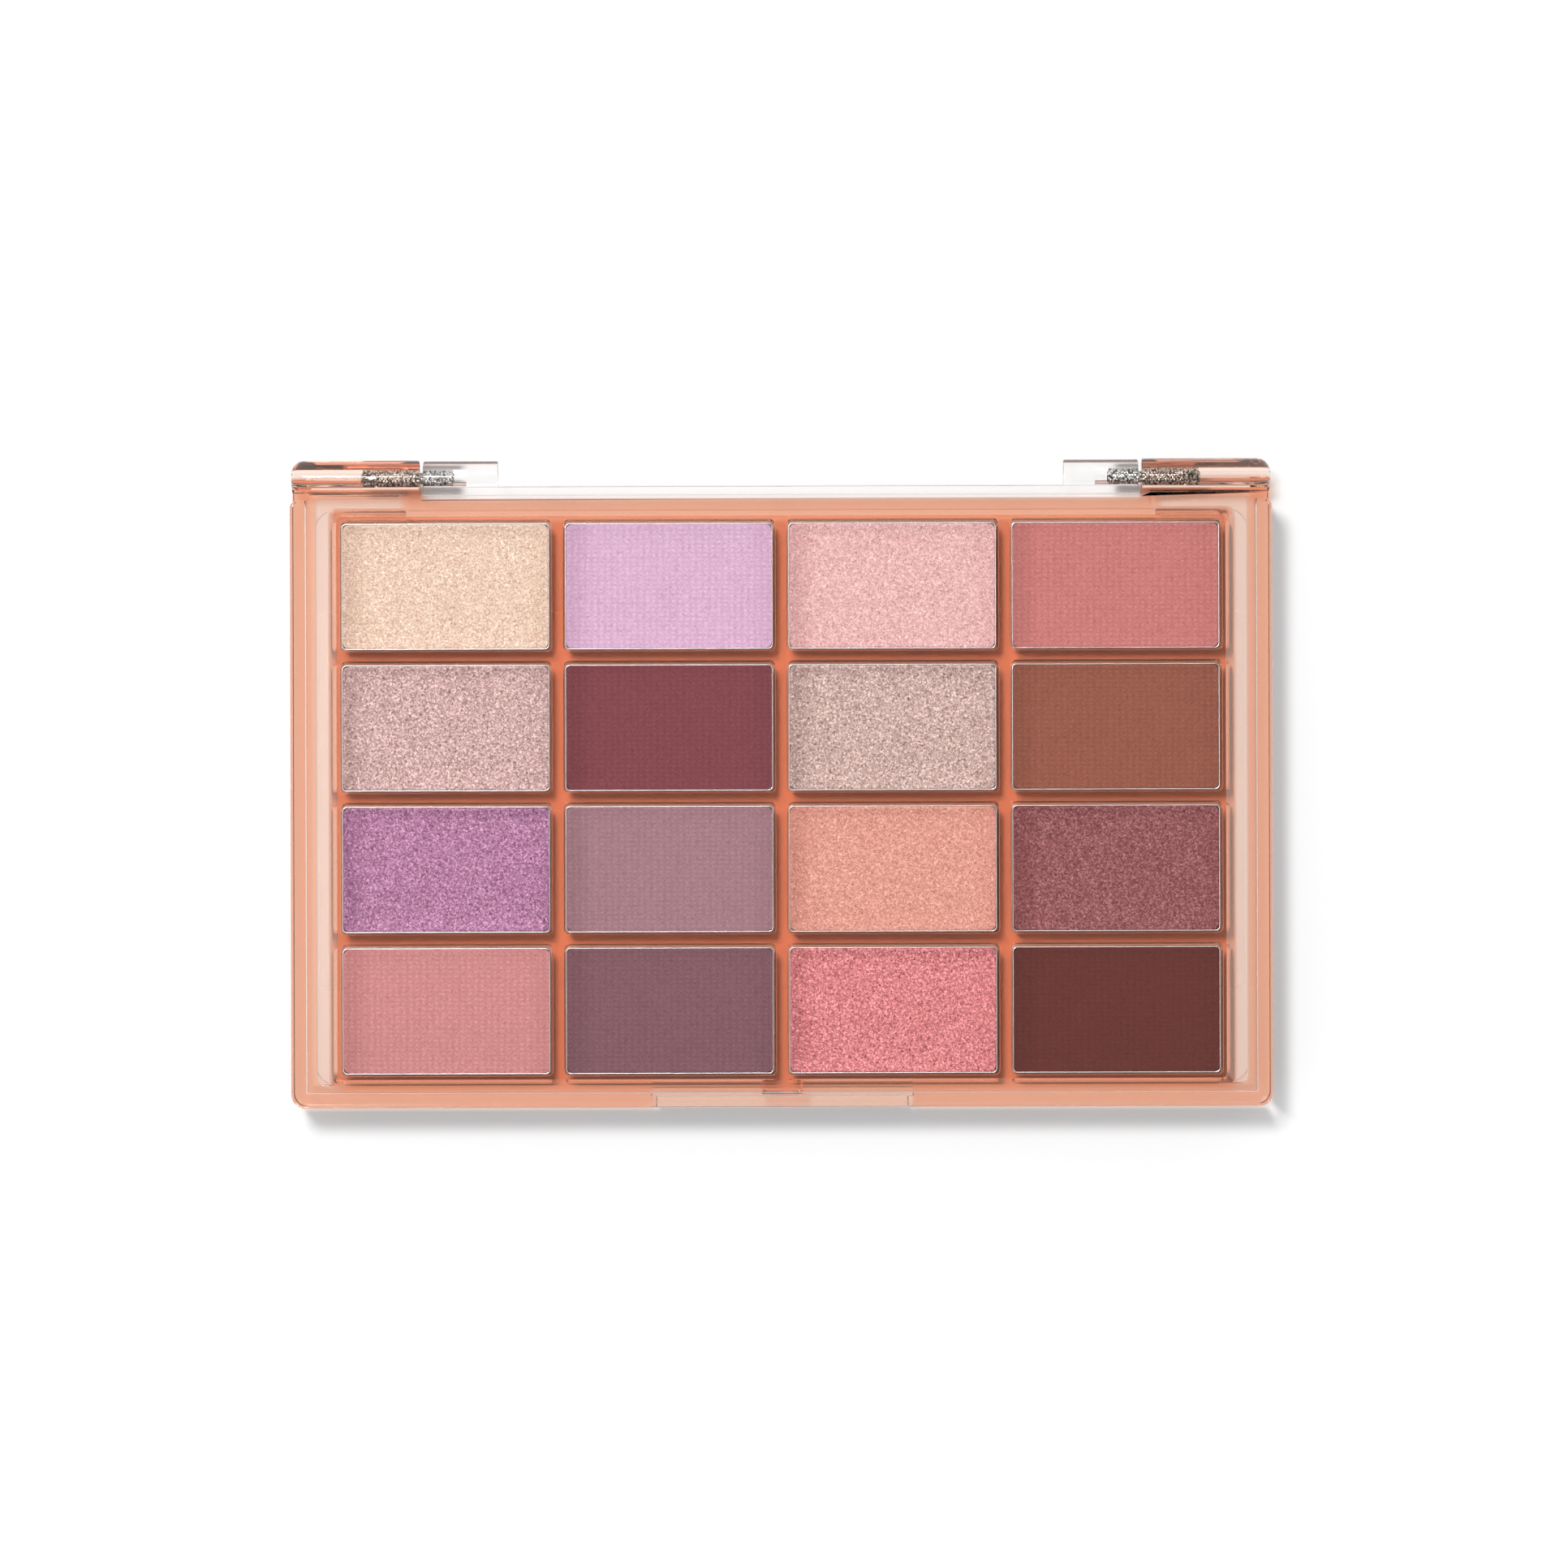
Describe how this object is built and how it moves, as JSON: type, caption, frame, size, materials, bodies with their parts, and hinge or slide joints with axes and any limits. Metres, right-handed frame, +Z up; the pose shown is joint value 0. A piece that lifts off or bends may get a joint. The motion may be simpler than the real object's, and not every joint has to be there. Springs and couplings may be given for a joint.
{
  "type": "eyeshadow palette",
  "caption": "Flat rectangular makeup palette: a peach translucent tray holds a grid of pressed powder pans under a clear lid hinged on two short pins at the back.",
  "frame": {"origin": "centre of the bounding box's bottom face, where the tray rests", "axes": "+X to the right along the long side, +Y from the front tab to the hinge, +Z up out of the lid"},
  "size_m": [0.12, 0.0794, 0.01],
  "materials": {
    "tinted_plastic": "polished translucent peach-orange, seen darker where the plastic is thick",
    "clear_plastic": "polished clear colourless",
    "steel": "bright steel, diamond knurled, smooth at the outer end",
    "pan_metal": "thin pressed bright pan",
    "label_film": "blank clear film sticker",
    "glue": "set adhesive",
    "powder_r1c1": "pressed powder, champagne shimmer",
    "powder_r1c2": "pressed powder, lilac matte",
    "powder_r1c3": "pressed powder, light pink shimmer",
    "powder_r1c4": "pressed powder, dusty rose matte",
    "powder_r2c1": "pressed powder, mauve taupe shimmer",
    "powder_r2c2": "pressed powder, burgundy matte",
    "powder_r2c3": "pressed powder, silvery champagne glitter",
    "powder_r2c4": "pressed powder, brown matte",
    "powder_r3c1": "pressed powder, purple shimmer",
    "powder_r3c2": "pressed powder, mauve grey matte",
    "powder_r3c3": "pressed powder, peach shimmer",
    "powder_r3c4": "pressed powder, plum brown satin",
    "powder_r4c1": "pressed powder, dusty pink matte",
    "powder_r4c2": "pressed powder, grey plum matte",
    "powder_r4c3": "pressed powder, coral pink glitter",
    "powder_r4c4": "pressed powder, dark chocolate matte"
  },
  "bodies": {
    "base": {"base_tray": "tinted_plastic", "hinge_pin_left": "steel", "hinge_pin_right": "steel", "underside_label": "label_film", "pan_r1c1": "pan_metal", "pan_r1c2": "pan_metal", "pan_r1c3": "pan_metal", "pan_r1c4": "pan_metal", "pan_r2c1": "pan_metal", "pan_r2c2": "pan_metal", "pan_r2c3": "pan_metal", "pan_r2c4": "pan_metal", "pan_r3c1": "pan_metal", "pan_r3c2": "pan_metal", "pan_r3c3": "pan_metal", "pan_r3c4": "pan_metal", "pan_r4c1": "pan_metal", "pan_r4c2": "pan_metal", "pan_r4c3": "pan_metal", "pan_r4c4": "pan_metal", "powder_r1c1": "powder_r1c1", "powder_r1c2": "powder_r1c2", "powder_r1c3": "powder_r1c3", "powder_r1c4": "powder_r1c4", "powder_r2c1": "powder_r2c1", "powder_r2c2": "powder_r2c2", "powder_r2c3": "powder_r2c3", "powder_r2c4": "powder_r2c4", "powder_r3c1": "powder_r3c1", "powder_r3c2": "powder_r3c2", "powder_r3c3": "powder_r3c3", "powder_r3c4": "powder_r3c4", "powder_r4c1": "powder_r4c1", "powder_r4c2": "powder_r4c2", "powder_r4c3": "powder_r4c3", "powder_r4c4": "powder_r4c4", "glue_dot_r1c1": "glue", "glue_dot_r1c2": "glue", "glue_dot_r1c3": "glue", "glue_dot_r1c4": "glue", "glue_dot_r2c1": "glue", "glue_dot_r2c2": "glue", "glue_dot_r2c3": "glue", "glue_dot_r2c4": "glue", "glue_dot_r3c1": "glue", "glue_dot_r3c2": "glue", "glue_dot_r3c3": "glue", "glue_dot_r3c4": "glue", "glue_dot_r4c1": "glue", "glue_dot_r4c2": "glue", "glue_dot_r4c3": "glue", "glue_dot_r4c4": "glue"},
    "lid": {"lid": "clear_plastic"}
  },
  "joints": [
    {"name": "lid_hinge", "type": "hinge", "parent": "base", "child": "lid", "pos_m": [0, 0.0374, 0.0056], "axis": [-1, 0, 0], "range_deg": [0, 180]}
  ]
}
